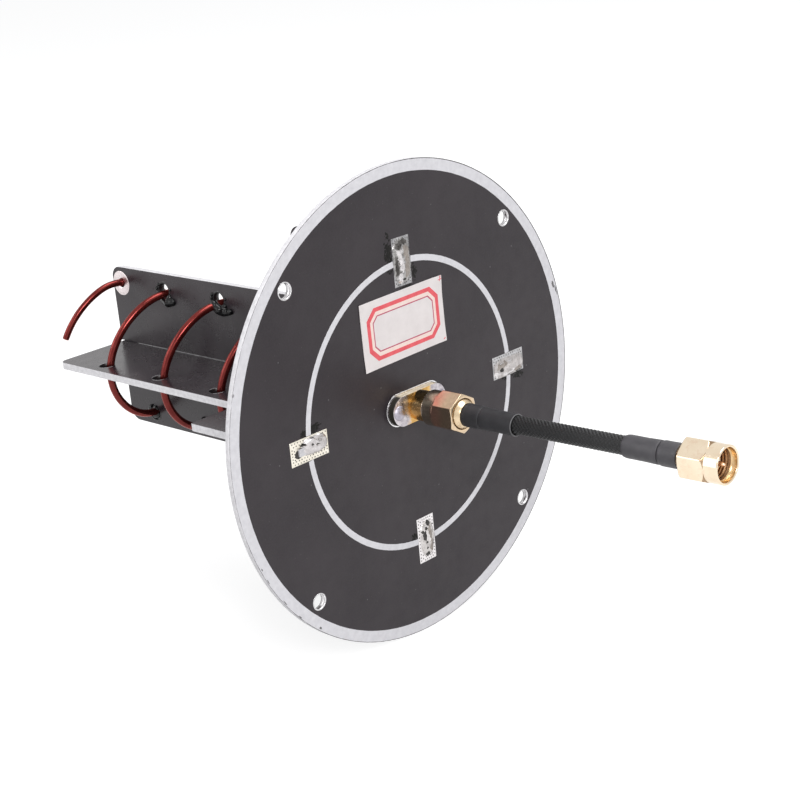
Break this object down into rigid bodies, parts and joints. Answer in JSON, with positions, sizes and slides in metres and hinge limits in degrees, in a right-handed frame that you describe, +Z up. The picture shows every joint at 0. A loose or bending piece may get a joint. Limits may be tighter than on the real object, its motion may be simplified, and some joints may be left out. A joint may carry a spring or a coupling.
{
  "type": "helical antenna",
  "caption": "Wire helix threaded through crossed boards on a round reflector board, fed by a flanged coaxial jack with a short screw-on jumper cable.",
  "frame": {"origin": "middle of the reflector board's front face, on the jack's and the helix's axis", "axes": "+Y runs back from the reflector along the helix, +Z is up along the upright support board, +X is to the right along the level support board, seen from the jack's side"},
  "size_m": [0.1, 0.1724, 0.1],
  "materials": {
    "board": "black solder mask on glass-fibre board, with pale cut edges and pale print",
    "solder": "tinned solder, lumpy and half bright",
    "enamelled_wire": "red-brown enamel on copper, glossy",
    "glue": "black glue, glossy",
    "paper": "white paper with a red border",
    "gold_plate": "gold plate, polished",
    "white_insulator": "white fluoropolymer, satin",
    "rivet_metal": "bright grey metal",
    "spring_metal": "spring metal",
    "gasket_rubber": "silicone rubber",
    "shrink_tube": "black shrink tube, satin",
    "cable_braid": "black braided jacket, slightly shiny"
  },
  "bodies": {
    "antenna": {"reflector_board": "board", "level_support_board": "board", "upright_support_board": "board", "tab_solder": "solder", "helix_wire": "enamelled_wire", "glue_beads": "glue", "feed_solder": "solder", "label": "paper", "jack_body": "gold_plate", "jack_insulator": "white_insulator", "jack_contact": "gold_plate", "flange_rivets": "rivet_metal", "near_nut": "gold_plate", "near_body": "gold_plate", "near_insulator": "white_insulator", "near_pin": "gold_plate", "near_snap_ring": "spring_metal", "near_gasket": "gasket_rubber", "near_collar": "shrink_tube", "near_sleeve": "shrink_tube", "coax_cable": "cable_braid", "far_sleeve": "shrink_tube", "far_collar": "shrink_tube", "far_body": "gold_plate", "far_insulator": "white_insulator", "far_pin": "gold_plate", "far_snap_ring": "spring_metal", "far_gasket": "gasket_rubber"},
    "free_coupling_nut": {"far_nut": "gold_plate"}
  },
  "joints": [
    {"name": "free_nut_spin", "type": "hinge", "parent": "antenna", "child": "free_coupling_nut", "pos_m": [0, -0.0708, 0.00084], "axis": [0, -0.9999, 0.0167], "continuous": true}
  ]
}
